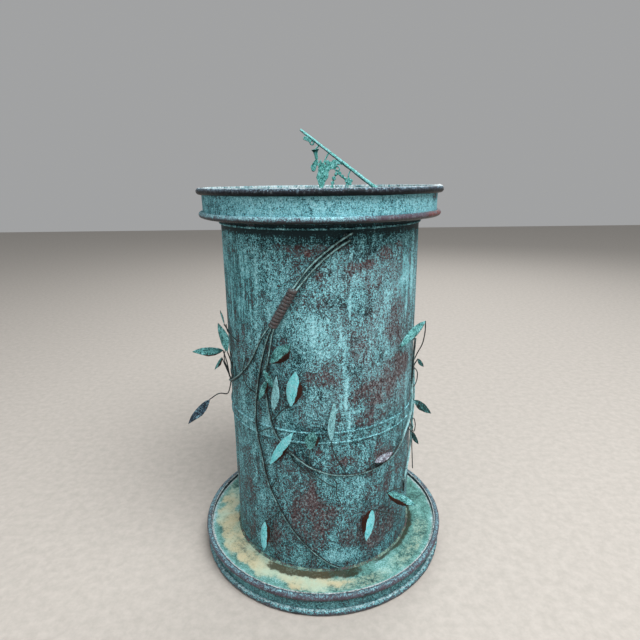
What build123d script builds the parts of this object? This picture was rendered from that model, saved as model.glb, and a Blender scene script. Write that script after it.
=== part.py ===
from build123d import *
import os
from math import atan, cos, degrees, radians, sin, tan

# A pedestal sundial of sheet copper with a vine of copper wire wrapped round its column.
# Origin: centre of the underside. +Z up. The front faces -Y.
# Azimuths are degrees round the column from the front, positive towards +X.

# Driving dimensions, millimetres
SHEET = 1.2
GAP = 0.1                      # between soldered curved sheets
TURNING_GAP = 0.4              # between the collar and the column
LIFTING_GAP = 0.3              # between the head and the collar
BASE_RADIUS = 215.2            # outside of the skirt
BASE_PLATE_TOP = 32.0          # top plate that the column stands on
BASE_RIM_HEIGHT = 39.0         # top of the skirt
COLUMN_RADIUS = 161.0
COLUMN_TOP = 592.0
COLUMN_JOINT = 278.5           # height of the joint between the two shells
BAND_HEIGHT = 20.0
COLLAR_WALL = 2.6
COLLAR_BOTTOM = 590.5
COLLAR_TOP = 600.0
HEAD_RADIUS = 188.0            # outside of the drum's wall
HEAD_HEIGHT = 44.7
DIAL_RECESS = 7.0              # dial plate below the drum's rim
LATITUDE = 37.0                # slope of the style

# Rolled wire beads: (centre radius, centre height, bead radius)
BASE_LOWER_BEAD = (217.3, 4.9, 4.9)
BASE_UPPER_BEAD = (219.2, 35.0, 4.7)
HEAD_LOWER_BEAD = (189.8, 605.0, 4.7)
HEAD_UPPER_BEAD = (191.2, 640.2, 5.0)

ROD_DIAMETER = 4.4
BRANCH_DIAMETER = 3.6
TENDRIL_DIAMETER = 1.8
STEM_DIAMETER = 2.0
LEAF_THICKNESS = 0.9
CASTING_THICKNESS = 3.2
CASTING_WIRE = 2.5
LIE = 3.8                      # stand-off of a branch's centre line where it lies on the column
OVER = 5.8                     # the same where it passes over the strap or the back seam

# Derived
COLLAR_RADIUS = COLUMN_RADIUS + TURNING_GAP
HEAD_BOTTOM = COLLAR_TOP + LIFTING_GAP
HEAD_RIM = HEAD_BOTTOM + HEAD_HEIGHT
DIAL_TOP = HEAD_RIM - DIAL_RECESS
FOOT_TOP = DIAL_TOP + 2.0      # top of the gnomon's foot plate
STYLE_FOOT = 93.0              # where the style meets the foot plate, along +X


# ---------- helpers ----------

def ring(inner, outer, bottom, top):
    """A flat washer or a tube round the axis."""
    section = Rectangle(outer - inner, top - bottom, align=(Align.MIN, Align.MIN))
    return revolve(Plane.XZ * Pos(inner, bottom) * section, Axis.Z)


def disc(radius, bottom, top):
    return Pos(0, 0, bottom) * Cylinder(radius, top - bottom, align=(Align.CENTER, Align.CENTER, Align.MIN))


def bead(centre, wall_radius):
    """A rolled bead that sits against the outside of a wall."""
    radius, height, size = centre
    section = Pos(radius, height) * Circle(size)
    inside = Pos(wall_radius + GAP, height) * Rectangle(4 * size, 4 * size, align=(Align.MAX, Align.CENTER))
    return revolve(Plane.XZ * (section - inside), Axis.Z)


def on_column(azimuth, height, standoff):
    """A point that stands off the column's surface."""
    radius = COLUMN_RADIUS + standoff
    return Vector(radius * sin(radians(azimuth)), -radius * cos(radians(azimuth)), height)


def bend_radii(points):
    """The largest tangent arcs that the runs of a route leave room for."""
    radii = []
    for before, corner, after in zip(points, points[1:], points[2:]):
        run_in = corner - before
        run_out = after - corner
        half_turn = radians(run_in.get_angle(run_out)) / 2
        radii.append(0.45 * min(run_in.length, run_out.length) / tan(half_turn))
    return radii


def wire(points, diameter):
    """A round wire along straight runs joined by tangent arcs."""
    if len(points) > 2:
        path = FilletPolyline(*points, radius=bend_radii(points))
    else:
        path = Line(*points)
    section = Plane(origin=points[0], z_dir=points[1] - points[0]) * Circle(diameter / 2)
    return sweep(section, path=path)


def vine(route, diameter):
    """A wire bent round the column; the route holds azimuth, height and stand-off."""
    return wire([on_column(*stop) for stop in route], diameter)


def lying(*route):
    """Gives each stop that has only an azimuth and a height the stand-off of a wire on the column."""
    return [stop if len(stop) == 3 else stop + (LIE,) for stop in route]


def plate_xz(outline, thickness=CASTING_THICKNESS):
    """A flat casting in the plane of the style, from points (x, z)."""
    face = make_face(Polyline(*[Vector(x, 0, z) for x, z in outline], close=True))
    return extrude(face, amount=thickness / 2, dir=(0, 1, 0), both=True)


# ---------- base ----------

def base_parts():
    inner = BASE_RADIUS - SHEET
    foot = [(COLUMN_RADIUS + GAP, BASE_PLATE_TOP), (COLUMN_RADIUS + 4.0, BASE_PLATE_TOP),
            (COLUMN_RADIUS + GAP, BASE_PLATE_TOP + 3.0)]
    fillet_face = make_face(Plane.XZ * Polyline(*foot, close=True))
    return {
        "base_bottom_plate": disc(BASE_RADIUS, 0, SHEET),
        "base_skirt": ring(inner, BASE_RADIUS, SHEET, BASE_RIM_HEIGHT),
        "base_lower_bead": bead(BASE_LOWER_BEAD, BASE_RADIUS),
        "base_upper_bead": bead(BASE_UPPER_BEAD, BASE_RADIUS),
        "base_top_plate": ring(140.0, inner - GAP, BASE_PLATE_TOP - 1.5, BASE_PLATE_TOP),
        "column_foot_solder": revolve(fillet_face, Axis.Z),
    }


# ---------- column ----------

def band_strap():
    """The strap over the joint, with a rolled ridge along each edge."""
    inside = COLUMN_RADIUS + GAP
    strap = ring(inside, inside + 1.0, COLUMN_JOINT - BAND_HEIGHT / 2, COLUMN_JOINT + BAND_HEIGHT / 2)
    for side in (-1, 1):
        height = COLUMN_JOINT + side * (BAND_HEIGHT / 2 - 1.6)
        ridge = Pos(inside + 0.8, height) * Circle(1.6)
        inner_half = Pos(inside, height) * Rectangle(6, 6, align=(Align.MAX, Align.CENTER))
        strap += revolve(Plane.XZ * (ridge - inner_half), Axis.Z)
    return strap


def back_seam():
    """Lap strip over the shells' vertical seam, at the back, above and below the strap."""
    width = 14.0
    shell = ring(COLUMN_RADIUS + GAP, COLUMN_RADIUS + GAP + 1.0, BASE_PLATE_TOP + 4, COLLAR_BOTTOM - 2)
    shell -= ring(COLUMN_RADIUS, COLUMN_RADIUS + 4, COLUMN_JOINT - BAND_HEIGHT / 2 - 1,
                  COLUMN_JOINT + BAND_HEIGHT / 2 + 1)
    return shell & Pos(0, COLUMN_RADIUS, COLUMN_TOP / 2) * Box(width, 20, COLUMN_TOP)


def column_parts():
    inner = COLUMN_RADIUS - SHEET
    return {
        "column_lower_shell": ring(inner, COLUMN_RADIUS, BASE_PLATE_TOP, COLUMN_JOINT),
        "column_upper_shell": ring(inner, COLUMN_RADIUS, COLUMN_JOINT, COLUMN_TOP),
        "column_band": band_strap(),
        "column_back_seam": back_seam(),
        "column_top_plate": disc(COLUMN_RADIUS, COLUMN_TOP, COLUMN_TOP + SHEET),
    }


# ---------- collar ----------

def collar_parts():
    disc_bottom = COLUMN_TOP + SHEET + LIFTING_GAP
    return {
        "collar_ring": ring(COLLAR_RADIUS, COLLAR_RADIUS + COLLAR_WALL, COLLAR_BOTTOM, COLLAR_TOP),
        "collar_disc": ring(60.0, COLLAR_RADIUS - GAP, disc_bottom, disc_bottom + 1.5),
    }


# ---------- head ----------

def hour_angle(hours_from_noon):
    """Angle of an hour line from the noon line, seen from the style's foot."""
    if abs(hours_from_noon) == 6:
        return 90.0 * (1 if hours_from_noon > 0 else -1)
    return degrees(atan(sin(radians(LATITUDE)) * tan(radians(15 * hours_from_noon))))


def hour_lines():
    """Raised bars that fan out from the style's foot across the chapter band."""
    band = ring(121.0, 140.0, DIAL_TOP, DIAL_TOP + 0.8)
    bars = []
    for hour in range(-6, 7):
        bar = Box(320, 1.8, 4, align=(Align.MIN, Align.CENTER, Align.CENTER))
        turned = Pos(STYLE_FOOT, 0, DIAL_TOP) * Rot(0, 0, 180 - hour_angle(hour)) * bar
        bars += (band & turned).solids()
    return Compound(children=bars)


STROKES = {"I": (3.4, [(0, 0)]), "V": (7.4, [(-1.9, 16), (1.9, -16)]), "X": (7.4, [(0, 24), (0, -24)])}
NUMERALS = ["VI", "VII", "VIII", "IX", "X", "XI", "XII", "I", "II", "III", "IIII", "V", "VI"]


def numeral(text):
    """A Roman numeral made of straight strokes, centred on the origin, reading along +X."""
    height = 13.0
    width = sum(STROKES[letter][0] for letter in text)
    cursor = -width / 2
    strokes = []
    for letter in text:
        advance, bars = STROKES[letter]
        centre = cursor + advance / 2
        for offset, slant in bars:
            strokes.append(Pos(centre + offset, 0, 0) * Rot(0, 0, slant) * Box(1.4, height, 0.8))
        cursor += advance
    shape = strokes[0]
    for stroke in strokes[1:]:
        shape += stroke
    return shape


def line_radius_point(angle, radius):
    """Where an hour line from the style's foot crosses a circle round the dial's centre."""
    dx, dy = -cos(radians(angle)), sin(radians(angle))
    along = -STYLE_FOOT * dx + ((STYLE_FOOT * dx) ** 2 - STYLE_FOOT ** 2 + radius ** 2) ** 0.5
    return STYLE_FOOT + along * dx, along * dy


def dial_numerals():
    solids = []
    for hour, text in zip(range(-6, 7), NUMERALS):
        x, y = line_radius_point(hour_angle(hour), 156.0)
        outward = degrees(atan(y / x)) + (180 if x < 0 else 0)
        placed = Pos(x, y, DIAL_TOP + 0.4) * Rot(0, 0, outward - 90) * numeral(text)
        solids += placed.solids()
    return Compound(children=solids)


def chapter_rings():
    rings = []
    for radius in (117.0, 142.5, 171.0):
        rings.append(ring(radius, radius + 2.0, DIAL_TOP, DIAL_TOP + 0.8))
    return Compound(children=rings)


def head_parts():
    inner = HEAD_RADIUS - SHEET
    return {
        "head_bottom_plate": ring(150.0, inner - GAP, HEAD_BOTTOM, HEAD_BOTTOM + SHEET),
        "head_spigot": ring(COLLAR_RADIUS - 1.8, COLLAR_RADIUS - 0.6, COLLAR_TOP - 4.2, HEAD_BOTTOM),
        "head_wall": ring(inner, HEAD_RADIUS, HEAD_BOTTOM, HEAD_RIM),
        "head_lower_bead": bead(HEAD_LOWER_BEAD, HEAD_RADIUS),
        "head_upper_bead": bead(HEAD_UPPER_BEAD, HEAD_RADIUS),
        "dial_plate": disc(inner - GAP, DIAL_TOP - 2.0, DIAL_TOP),
        "dial_chapter_rings": chapter_rings(),
        "dial_hour_lines": hour_lines(),
        "dial_numerals": dial_numerals(),
    }


# ---------- gnomon ----------

STYLE_START = Vector(STYLE_FOOT + 1.5, 0, FOOT_TOP - 1.0)
STYLE_END = Vector(-29.5, 0, 731.5)
STYLE_ROOT_RADIUS = 3.2
STYLE_TIP_RADIUS = 2.1
SCREW_PLACES = (-26.0, 108.0)
FOOT_THICKNESS = 2.0
FOOT_WIDTH = 12.0
FOOT_MARGIN = 7.0              # foot strip beyond each screw
SCREW_RADIUS = 2.0
SCREW_HOLE_RADIUS = 2.1
SCREW_DOME_RADIUS = 4.2
FLOWER_ROOT = (-4.0, 686.0)
FLOWER_LEAN = 8.0
BLOSSOM_CENTRE = (47.5, 651.5)
BLOSSOM_SIZE = 7.0


def gnomon_style():
    """The sloping branch whose shadow tells the time."""
    run = STYLE_END - STYLE_START
    on_end = (Align.CENTER, Align.CENTER, Align.MIN)
    taper = Cone(STYLE_ROOT_RADIUS, STYLE_TIP_RADIUS, run.length, align=on_end)
    rod = Plane(origin=STYLE_START, z_dir=run) * taper
    below = Pos(STYLE_FOOT, 0, FOOT_TOP) * Box(40, 40, 20, align=(Align.CENTER, Align.CENTER, Align.MAX))
    return rod - below


def gnomon_foot():
    """A strip along the noon line, screwed to the dial."""
    length = SCREW_PLACES[1] - SCREW_PLACES[0] + 2 * FOOT_MARGIN
    middle = (SCREW_PLACES[1] + SCREW_PLACES[0]) / 2
    strip = Box(length, FOOT_WIDTH, FOOT_THICKNESS, align=(Align.CENTER, Align.CENTER, Align.MIN))
    strip = Pos(middle, 0, DIAL_TOP) * strip
    for x in SCREW_PLACES:
        strip -= Pos(x, 0, DIAL_TOP) * Cylinder(SCREW_HOLE_RADIUS, 4 * FOOT_THICKNESS)
    return strip


def gnomon_screws():
    """Round-head screws through the foot strip."""
    screws = []
    for x in SCREW_PLACES:
        shank = Pos(x, 0, (DIAL_TOP + FOOT_TOP) / 2) * Cylinder(SCREW_RADIUS, FOOT_THICKNESS)
        dome = Pos(x, 0, FOOT_TOP - 1.4) * Sphere(SCREW_DOME_RADIUS)
        dome &= Pos(x, 0, FOOT_TOP) * Box(12, 12, 6, align=(Align.CENTER, Align.CENTER, Align.MIN))
        slot = Pos(x, 0, FOOT_TOP + 2.4) * Box(12, 1.0, 1.4)
        screws.append(shank + dome - slot)
    return Compound(children=screws)


def ivy_leaf():
    """The large lobed leaf that hangs under the style and stands on the foot strip."""
    outline = [(1, FOOT_TOP), (5.5, FOOT_TOP), (9.5, 652), (14.5, 659), (15, 667), (20.5, 673), (16, 676.5),
               (9.5, 677.5), (8, 682.5), (5, 680.5), (2.5, 687), (-0.5, 681), (-4, 680), (-1.5, 675),
               (-2, 668), (-5, 659), (-2, 651)]
    return plate_xz(outline)


def trumpet_flower():
    """A small upright trumpet on the leaf's shoulder, open at the top."""
    profile = [(0, 0), (2.4, 1), (2.8, 8), (4.0, 12.5), (6.4, 16), (5.2, 16), (2.8, 12.5), (0, 10.5)]
    face = make_face(Plane.XZ * Polyline(*profile, close=True))
    flower = revolve(face, Axis.Z)
    return Pos(FLOWER_ROOT[0], 0, FLOWER_ROOT[1]) * Rot(0, -FLOWER_LEAN, 0) * flower


def five_petals(x, z, size):
    """An open five-petalled blossom, seen from the front."""
    blossom = Pos(x, 0, z) * Rot(90, 0, 0) * Cylinder(size * 0.38, CASTING_THICKNESS)
    for petal in range(5):
        angle = radians(90 + 72 * petal)
        centre = Pos(x + 0.62 * size * cos(angle), 0, z + 0.62 * size * sin(angle))
        blossom += centre * Rot(90, 0, 0) * Cylinder(size * 0.36, CASTING_THICKNESS)
    return blossom


def lobes(places):
    """Rounded leaflets that run into each other."""
    shape = None
    for x, z, radius in places:
        lobe = Pos(x, 0, z) * Rot(90, 0, 0) * Cylinder(radius, CASTING_THICKNESS)
        shape = lobe if shape is None else shape + lobe
    return shape


def casting_wire(route):
    return wire([Vector(x, 0, z) for x, z in route], CASTING_WIRE)


def curl(x, z, size):
    """A small ring of wire."""
    section = Pos(x + size, 0, z) * Circle(CASTING_WIRE / 2)
    return revolve(section, Axis((x, 0, z), (0, 1, 0)))


def gnomon_openwork():
    """Leaflets, stalks and curls between the ivy leaf, the blossom and the style."""
    leaflets = lobes([(-9, 675, 4.6), (-7.2, 679.6, 3.4), (-9.4, 671.6, 3.4), (-4.4, 683.4, 3.4)])
    return leaflets + [
        casting_wire([(-8, 676), (-3, 678.5), (1, 678)]),
        lobes([(13, 682, 3.6), (18.5, 679, 3.8), (24.5, 681.6, 4.4), (31, 682, 4.2), (37, 681, 3.4)]),
        casting_wire([(8, 677), (15, 678), (24, 679), (33, 681)]),
        lobes([(22, 674.6, 3.6), (26, 677.4, 2.8)]),
        curl(29, 672, 3.4),
        lobes([(27, 663.5, 2.8), (23.6, 657, 3.2), (21.4, 650, 2.8), (20.6, 643.9, 2.8)]),
        casting_wire([(28.5, 669), (26.5, 663), (23.5, 657), (21.5, 650), (20.5, FOOT_TOP + 0.3)]),
        casting_wire([(31, 670), (32.5, 663), (37, 658.5), (43, 655), (47, 652)]),
        lobes([(33, 664.5, 3.0), (37.5, 660, 2.8), (42, 656.5, 2.4)]),
        casting_wire([(47, 653), (46.5, FOOT_TOP + 0.3)]),
    ]


def gnomon_twigs():
    """Short twigs that tie the flower, the blossom and the top curl to the style."""
    flower_twig = casting_wire([(-6, 700), (-4, 704), (0.5, 708)])
    blossom_twig = casting_wire([(47.5, 655), (46.5, 661), (51, 669.5)])
    curl_leaf = lobes([(-18, 717.4, 3.6), (-21.8, 718.4, 3.2), (-15, 715.2, 2.8)])
    leaf_twig = casting_wire([(7.5, 681.5), (10, 687), (16, 697)])
    return Compound(children=[flower_twig, blossom_twig, leaf_twig, curl(-11.2, 711.8, 2.9), curl_leaf])


def gnomon_parts():
    return {
        "gnomon_foot": gnomon_foot(),
        "gnomon_screws": gnomon_screws(),
        "gnomon_style": gnomon_style(),
        "gnomon_ivy_leaf": ivy_leaf(),
        "gnomon_flower": trumpet_flower(),
        "gnomon_blossom": five_petals(*BLOSSOM_CENTRE, BLOSSOM_SIZE),
        "gnomon_openwork": gnomon_openwork(),
        "gnomon_twigs": gnomon_twigs(),
    }


# ---------- vine ----------

BINDING_TOP = (-12.3, 513.0, 8.8)
BINDING_BOTTOM = (-25.0, 451.0, 8.8)
BINDING_RADIUS = 6.9
BINDING_TURNS = 12

UPPER_ROD = [(15.5, 586.5, 3.6), (9, 576, 3.6), (1.2, 559, 3.6), (-6, 539.5, 3.8), (-11.2, 519, 7.2),
             (-14.5, 507, 8.8), (-16.9, 496, 8.8)]
LOWER_ROD = [(14.5, 577, 3.6), (7, 564.5, 3.6), (-1, 545.5, 3.6), (-7.5, 524.5, 4.4), (-10.8, 512, 7.8),
             (-13.0, 504, 8.8), (-15.3, 493, 8.8)]

# The left branch goes round the back and down the right side to the front again
LEFT_BRANCH = [(-22.9, 468.5, 8.8), (-26.1, 453, 8.6), (-29.6, 441, 7.4), (-34, 424, 4.4)] + lying(
    (-40, 393), (-49, 366), (-61, 342), (-75, 324), (-90, 311), (-106, 305), (-122, 306), (-138, 313),
    (-153, 324), (-168, 337, OVER), (-181, 348.5, OVER), (-196, 360, OVER), (-211, 369), (-227, 376),
    (-243, 378), (-257, 372), (-269, 355), (-276, 327), (-279.5, 297, 5.4), (-281, 262, 5.4),
    (-282.5, 230, 3.0), (-285, 200, 3.0), (-291, 179, 3.2), (-297, 164, 3.4), (-299.5, 148, 3.2),
    (-300.5, 127, 3.2))
FOOT_BRANCH = [(-21.8, 466.5, 8.8), (-25, 451, 8.6), (-27, 440, 7.0), (-29.4, 425, 4.6)] + lying(
    (-32.6, 400), (-36, 362), (-38.5, 324), (-38.8, 292, OVER), (-37.6, 264, OVER), (-35.8, 236),
    (-34.3, 207), (-31, 177), (-25, 142), (-17, 105), (-7, 74), (3, 48), (9.5, 38))
RIGHT_BRANCH = [(-20.6, 464.5, 8.8), (-23.8, 449, 8.6), (-25.3, 436, 7.0), (-27.0, 418, 4.4)] + lying(
    (-29.6, 388), (-30.8, 352), (-30, 320), (-27, 289, OVER), (-22, 266, OVER), (-15, 246), (-7, 229),
    (5, 215), (18, 210), (31, 211), (43, 217), (51, 231), (58, 247), (64, 267, OVER), (67, 291, OVER),
    (67.4, 318), (67, 345), (69, 373), (74, 398))


def vine_binding():
    """Wire wound tightly round the rods where the vine divides."""
    top, bottom = on_column(*BINDING_TOP), on_column(*BINDING_BOTTOM)
    run = bottom - top
    pitch = run.length / BINDING_TURNS
    groove = BINDING_RADIUS - pitch / 2
    profile = Polyline((0, 0), (groove, 0))
    for turn in range(BINDING_TURNS):
        start = turn * pitch
        crest = (BINDING_RADIUS, start + pitch / 2)
        profile += ThreePointArc((groove, start), crest, (groove, start + pitch))
    profile += Polyline((groove, run.length), (0, run.length), (0, 0))
    solid = revolve(Plane.XZ * make_face(profile), Axis.Z)
    return Plane(origin=top, z_dir=run) * solid


def vine_parts():
    return {
        "vine_rod_upper": vine(UPPER_ROD, ROD_DIAMETER),
        "vine_rod_lower": vine(LOWER_ROD, ROD_DIAMETER),
        "vine_binding": vine_binding(),
        "vine_branch_left": vine(LEFT_BRANCH, BRANCH_DIAMETER),
        "vine_branch_foot": vine(FOOT_BRANCH, BRANCH_DIAMETER),
        "vine_branch_right": vine(RIGHT_BRANCH, BRANCH_DIAMETER),
    }


# ---------- tendrils and solder tacks ----------

LEFT_TENDRILS = [
    [(-45, 395, 3), (-48, 372, 5), (-47.5, 358, 6), (-43, 347, 8), (-37, 342, 8.5), (-31.5, 334, 4)],
    [(-74, 384, 6), (-79, 368, 10), (-80, 354, 10), (-77, 343, 4.5), (-76, 330, 3.5)],
    [(-66, 386, 3), (-59.5, 370, 5), (-65.5, 355, 5), (-64, 340, 3)],
    [(-79, 422, 3), (-70, 417, 3.6), (-62, 417, 3), (-53, 413, 2.2)],
    [(-38.5, 272, 3), (-34.5, 279, 6), (-29.5, 287, 3.5)],
    [(-26, 203, 2.6), (-28, 189, 4), (-31, 175, 3)],
]
FRONT_TENDRILS = [
    [(-20.5, 262, 3), (-17, 240, 2.6), (-10, 222, 2.6), (-3, 212, 3), (3, 199, 4), (6.5, 194, 5)],
    [(3, 216, 4), (8, 203, 6), (6.7, 186, 6.5), (9.7, 163, 6)],
    [(70, 252, 3), (74, 226, 6), (78, 199, 5), (79, 170, 7), (77, 143, 9)],
    [(75, 225, 5), (79, 214, 9), (82, 224, 11), (80, 240, 8), (76, 246, 5)],
    [(70, 350, 4), (75, 340, 8), (79, 329, 10), (78, 315, 9), (73, 311, 5)],
]
TACKS = [(12.5, 582, 2.6), (-2.4, 549.5, 2.6), (-75, 324, 2.2), (-122, 306, 2.2), (-211, 369, 2.2),
         (-243, 378, 2.2), (-282.5, 230, 2.2), (-299.5, 148, 2.2), (-38, 322, 2.2), (-31, 177, 2.2),
         (-7, 74, 2.2), (-11, 237, 2.2), (24, 210.2, 2.2), (67.3, 330, 2.2), (74, 398, 2.2)]


def solder_tacks():
    """Blobs of solder that hold the vine to the column."""
    blobs = []
    for azimuth, height, radius in TACKS:
        root = on_column(azimuth, height, GAP)
        outward = on_column(azimuth, height, 1) - on_column(azimuth, height, 0)
        blob = Cone(radius + 1.4, radius, radius + 0.8, align=(Align.CENTER, Align.CENTER, Align.MIN))
        blobs.append(Plane(origin=root, z_dir=outward) * blob)
    return Compound(children=blobs)


# ---------- leaves ----------

# node: blades of (base, tip, width, facing, stem), where base, tip and the stem's further stops
# are azimuth, height and stand-off, and facing is the azimuth and elevation that the blade looks towards
LEAVES = {
    "leaf_left_upright": [
        ((-62, 391, 11), (-72, 431, 17), 20, (-32, 5), [(-60.5, 371, 6), (-62, 346, 3.4)]),
    ],
    "leaf_left_level": [
        ((-78, 377, 11), (-74, 384, 61), 17, (-10, 45), [(-77, 358, 6), (-71, 333, 3.4)]),
    ],
    "leaf_left_low": [
        ((-76, 291, 40), (-72, 259, 79), 17, (-20, 40),
         [(-77, 301, 22), (-80, 291, 8), (-85, 300, 4), (-89, 310.5, 3)]),
    ],
    "leaf_below_binding": [
        ((-25, 399, 13), (-14.6, 431, 13), 23, (-20, 5), [(-27, 395, 8), (-29, 391, 4)]),
    ],
    "leaf_front_left": [
        ((-25.8, 321, 11), (-22.4, 380, 13), 16, (-30, 10), [(-27.5, 307, 6), (-28.8, 298, 3)]),
    ],
    "leaf_front_right": [
        ((-15.4, 334, 12), (-12.2, 392, 16), 23, (-18, 8), [(-20, 327, 8), (-28, 299, 3.4)]),
    ],
    "leaf_over_band": [
        ((-28.8, 227, 11), (-14.4, 294, 16), 17, (-30, 10), [(-32, 221, 5), (-34.6, 212, 3)]),
    ],
    "leaf_short": [
        ((-6.6, 263, 9), (-4.2, 298, 15), 21, (-8, 15), [(-6.9, 247, 5), (-7.2, 231, 3)]),
    ],
    "leaf_centre": [
        ((4.5, 279, 11), (6, 346, 14), 17, (40, 5), [(5, 262, 8), (8.5, 240, 7), (13, 212, 3)]),
    ],
    "leaf_foot_left": [
        ((-33, 118, 14), (-34.6, 59, 17), 17, (-30, 0), [(-30, 124, 9), (-25, 140, 3)]),
    ],
    "leaf_foot_right": [
        ((26.6, 146, 14), (23, 92, 17), 21, (25, 5), [(36, 128, 13), (48, 104, 10), (58, 80, 3)]),
    ],
    "leaf_right_low": [
        ((36.6, 165, 14), (47.3, 141, 46), 17, (10, 50), [(44, 158, 8), (58.5, 136, 3.4)]),
    ],
    "leaf_right_top": [
        ((58, 444, 29), (43, 410, 12), 14, (35, 30),
         [(64, 420, 24), (70, 392, 17), (74, 372, 8), (69.5, 360, 3)]),
    ],
    "leaf_right_dark": [
        ((69, 291, 8), (72, 266, 37), 14, (20, 30), [(68, 298, 5), (67.2, 306, 3)]),
    ],
    "leaf_edge_on": [
        ((29, 227, 9), (40, 236, 13), 13, (10, 75), [(27, 219, 5), (24.5, 212, 3)]),
    ],
    "leaf_tucked_upper": [
        ((-28.7, 388, 18), (-23.2, 364, 20), 12, (-25, 0), [(-29.5, 399, 10), (-28.6, 410, 4)]),
    ],
    "leaf_tucked_lower": [
        ((-27.9, 371, 12.5), (-32.7, 337, 15), 11, (-30, 0), [(-28.7, 383, 9), (-29.9, 394, 4)]),
    ],
    "leaves_small_left": [
        ((-78, 364, 14), (-78, 343, 27), 9, (-50, 30), [(-76, 351, 9), (-68, 335, 3.4)]),
        ((-70, 430, 8), (-76, 449, 11), 8, (-70, 0), [(-67, 424, 5), (-65, 418, 3)]),
    ],
    "leaves_small_right": [
        ((70, 366, 11), (71, 352, 20), 8, (30, 20), [(68.4, 358, 6), (67.4, 346, 3)]),
        ((70, 229, 7), (72, 203, 18), 10, (40, 0), [(66, 238, 5), (60.5, 253, 3)]),
    ],
    "leaves_back": [
        ((-118, 325, 10), (-112, 370, 16), 19, (-115, 5), [(-120, 316, 6), (-121, 307, 3)]),
        ((-150, 303, 12), (-146, 256, 20), 20, (-150, 10), [(-151, 312, 7), (-152.5, 322, 3)]),
        ((-188, 370, 11), (-196, 414, 18), 18, (-190, 0), [(-186, 361, 6), (-184, 352, 3)]),
        ((-217, 352, 14), (-212, 309, 24), 21, (-215, 15), [(-217, 362, 7), (-217.5, 371, 3)]),
        ((-246, 398, 12), (-240, 440, 30), 17, (-240, 10), [(-246, 388, 6), (-246.5, 378.5, 3)]),
        ((-266, 222, 10), (-258, 181, 22), 18, (-262, 0), [(-272, 232, 6), (-279, 244, 3)]),
    ],
}


def direction(azimuth, elevation):
    """Unit vector that points out at an azimuth and an elevation."""
    level = cos(radians(elevation))
    return Vector(level * sin(radians(azimuth)), -level * cos(radians(azimuth)), sin(radians(elevation)))


def blade(base, tip, width, facing):
    """A pointed sheet leaf, cupped across its width."""
    start, end = on_column(*base), on_column(*tip)
    along = end - start
    length = along.length
    facing = direction(*facing)
    normal = facing - along * (facing.dot(along) / length ** 2)
    edge = Bezier((0, 0), (0.22 * length, 0.78 * width), (0.68 * length, 0.55 * width), (length, 0))
    outline = make_face(edge + mirror(edge, Plane.XZ))
    cup = 0.75 * width
    depth = 0.6 * width
    sheet = Cylinder(cup + LEAF_THICKNESS / 2, 2 * length) - Cylinder(cup - LEAF_THICKNESS / 2, 2 * length)
    sheet = Pos(length / 2, 0, -cup) * Rot(0, 90, 0) * sheet
    local = extrude(outline, amount=depth, both=True) & sheet
    return Plane(origin=start, x_dir=along, z_dir=normal) * local


def leaf_parts():
    nodes = {}
    stems = []
    for node, blades in LEAVES.items():
        shapes = []
        for base, tip, width, facing, stem in blades:
            shapes.append(blade(base, tip, width, facing))
            stems.append(vine([base] + stem, STEM_DIAMETER))
        nodes[node] = shapes[0] if len(shapes) == 1 else Compound(children=shapes)
    nodes["leaf_stems"] = Compound(children=stems)
    return nodes


def trim_parts():
    left = [vine(route, TENDRIL_DIAMETER) for route in LEFT_TENDRILS]
    right = [vine(route, TENDRIL_DIAMETER) for route in FRONT_TENDRILS]
    return {
        "vine_tendrils_left": Compound(children=left),
        "vine_tendrils_right": Compound(children=right),
        "vine_tacks": solder_tacks(),
    }


if __name__ == "__main__":
    os.makedirs("parts", exist_ok=True)
    parts = {}
    for make in (base_parts, column_parts, collar_parts, head_parts, gnomon_parts, vine_parts, trim_parts,
                 leaf_parts):
        parts.update(make())
    for name, shape in parts.items():
        export_step(shape, f"parts/{name}.step")
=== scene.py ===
from math import atan2, ceil, cos, degrees, exp, hypot, pi, radians, sin

import bmesh
import bpy
from mathutils import Matrix, Vector, kdtree, noise


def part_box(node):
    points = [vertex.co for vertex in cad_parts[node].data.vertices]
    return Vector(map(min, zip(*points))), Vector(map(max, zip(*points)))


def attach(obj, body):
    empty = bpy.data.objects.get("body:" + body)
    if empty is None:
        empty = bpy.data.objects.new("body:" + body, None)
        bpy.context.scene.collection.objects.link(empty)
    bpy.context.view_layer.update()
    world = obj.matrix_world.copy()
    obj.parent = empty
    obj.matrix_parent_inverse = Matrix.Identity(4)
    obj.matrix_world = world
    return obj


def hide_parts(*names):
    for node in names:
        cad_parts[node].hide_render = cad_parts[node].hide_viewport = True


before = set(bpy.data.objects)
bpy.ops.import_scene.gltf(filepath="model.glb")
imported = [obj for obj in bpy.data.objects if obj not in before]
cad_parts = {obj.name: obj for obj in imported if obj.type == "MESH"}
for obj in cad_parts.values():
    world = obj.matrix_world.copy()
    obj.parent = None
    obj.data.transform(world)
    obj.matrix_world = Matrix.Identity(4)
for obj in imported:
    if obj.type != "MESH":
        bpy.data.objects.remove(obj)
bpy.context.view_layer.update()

# A verdigris copper pedestal sundial. Metres, in the frame of the CAD; the front faces -Y and
# azimuths are degrees from the front, positive towards +X.

MM = 0.001
SHEET = 1.2 * MM        # thickness of the rolled sheets
SEAT = 0.1 * MM         # gap between a bead or strap and the wall that it is soldered to


# ---------- small helpers ----------

def clamp01(value):
    return max(0.0, min(1.0, value))


def smoothstep(low, high, value):
    t = clamp01((value - low) / (high - low))
    return t * t * (3 - 2 * t)


def fade(low, high, value):
    """1 up to low, falling to 0 at high."""
    return 1 - smoothstep(low, high, value)


def lumps(point, size, octaves=3, seed=0.0):
    """Smooth noise of about -1 to 1 whose features are size mm across."""
    place = Vector(point) / (size * MM) + Vector((seed, 2.3 * seed, -1.7 * seed))
    return noise.fractal(place, 1.0, 2.0, octaves)


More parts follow.
